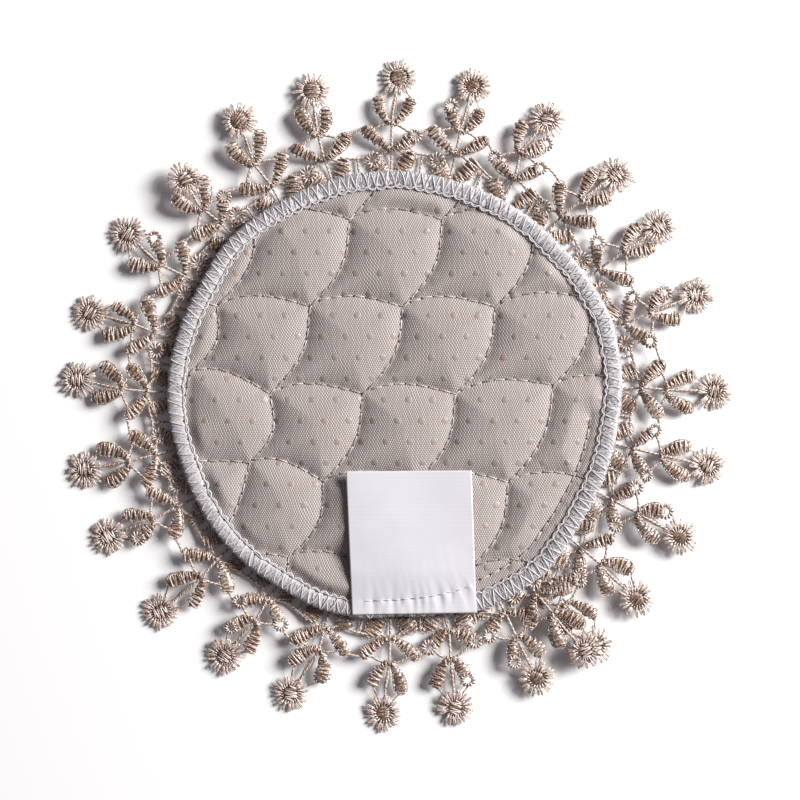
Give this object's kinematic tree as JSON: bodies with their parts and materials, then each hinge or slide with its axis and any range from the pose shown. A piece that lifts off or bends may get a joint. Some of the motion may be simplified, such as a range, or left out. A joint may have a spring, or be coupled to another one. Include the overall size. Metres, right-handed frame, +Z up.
{
  "type": "quilted lace doily",
  "caption": "Round quilted pad with an overlocked edge, a guipure lace trim of flower and leaf motifs, and a bare care label, lying face down.",
  "frame": {"origin": "middle of the doily's outline, on the surface that it lies on", "axes": "+Z up, away from the surface that the face side lies on; +Y away from the care label; +X to the right when seen from above"},
  "size_m": [0.1803, 0.1798, 0.0063],
  "materials": {
    "anti_slip_cloth": "matt canvas weave, quilted, with small rubber dots",
    "overlock_thread": "white overlock thread",
    "lace_thread": "tan twisted embroidery thread with a slight lustre",
    "label_satin": "bare white satin ribbon"
  },
  "bodies": {
    "root": {"quilted_pad": "anti_slip_cloth", "edge_overlock": "overlock_thread", "lace_trim": "lace_thread", "care_label": "label_satin"}
  },
  "joints": []
}
